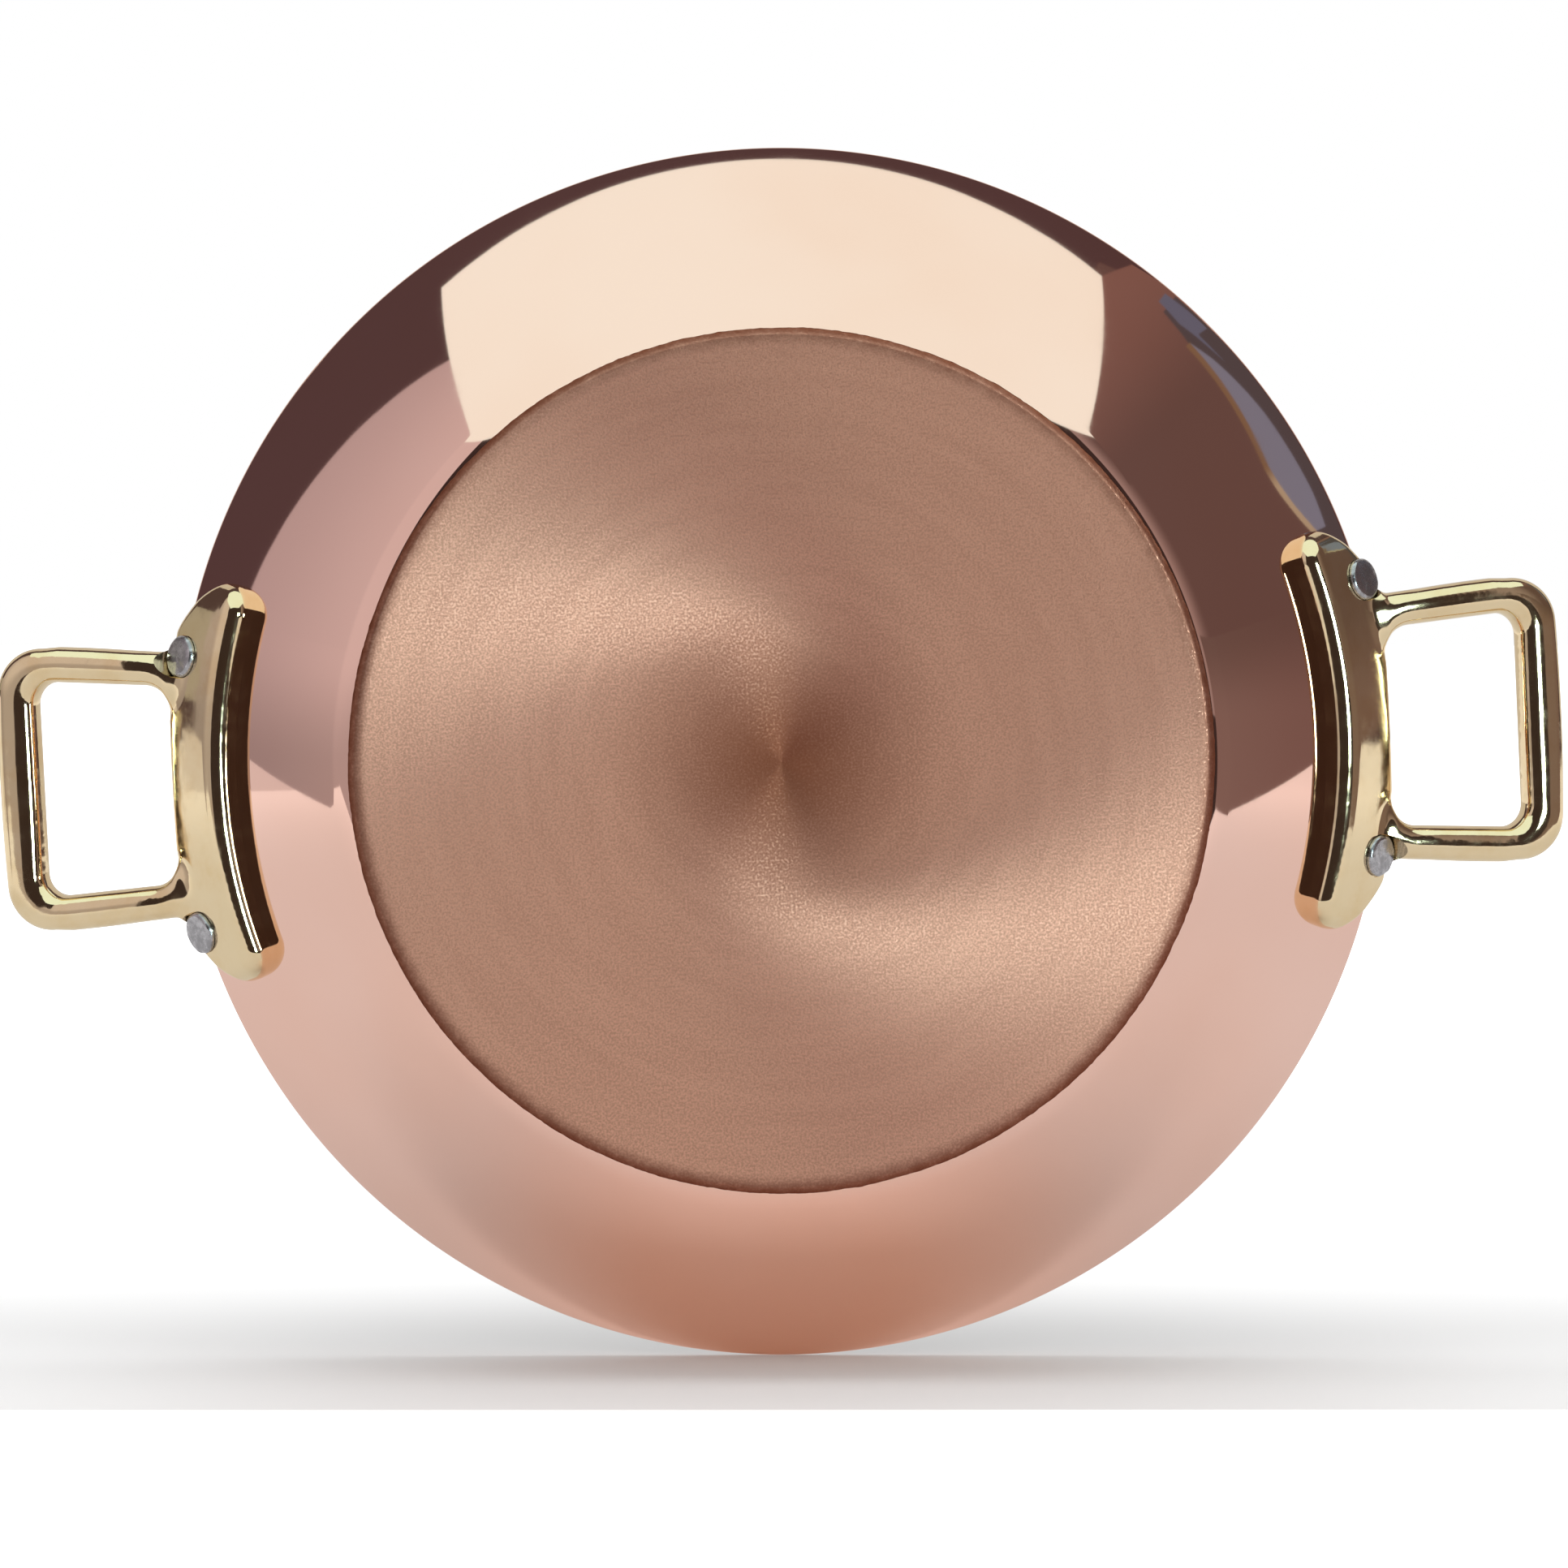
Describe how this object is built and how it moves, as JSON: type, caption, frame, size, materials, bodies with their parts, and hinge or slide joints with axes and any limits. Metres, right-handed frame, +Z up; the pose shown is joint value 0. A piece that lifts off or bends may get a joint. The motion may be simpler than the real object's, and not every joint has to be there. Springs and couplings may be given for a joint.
{
  "type": "frying pan",
  "caption": "Round flared copper frying pan with a steel lining, a sprayed base for induction hobs and riveted brass loop handles",
  "frame": {"origin": "centre of the base, on the surface that the pan stands on", "axes": "+Z up out of the pan's mouth, X through the two handles, Y across"},
  "size_m": [0.311, 0.24, 0.0428],
  "materials": {
    "polished_copper": null,
    "lining_steel": "satin stainless steel, brushed in circles",
    "sprayed_metal": "sprayed, blasted magnetic layer, grainy coppery brown",
    "cast_brass": "cast and polished pale yellow brass",
    "rivet_steel": "plain grey steel, flattened by the riveting tool"
  },
  "bodies": {
    "root": {"copper_shell": "polished_copper", "steel_lining": "lining_steel", "sprayed_base": "sprayed_metal", "left_handle": "cast_brass", "right_handle": "cast_brass", "left_front_rivet": "rivet_steel", "left_rear_rivet": "rivet_steel", "right_front_rivet": "rivet_steel", "right_rear_rivet": "rivet_steel"}
  },
  "joints": []
}
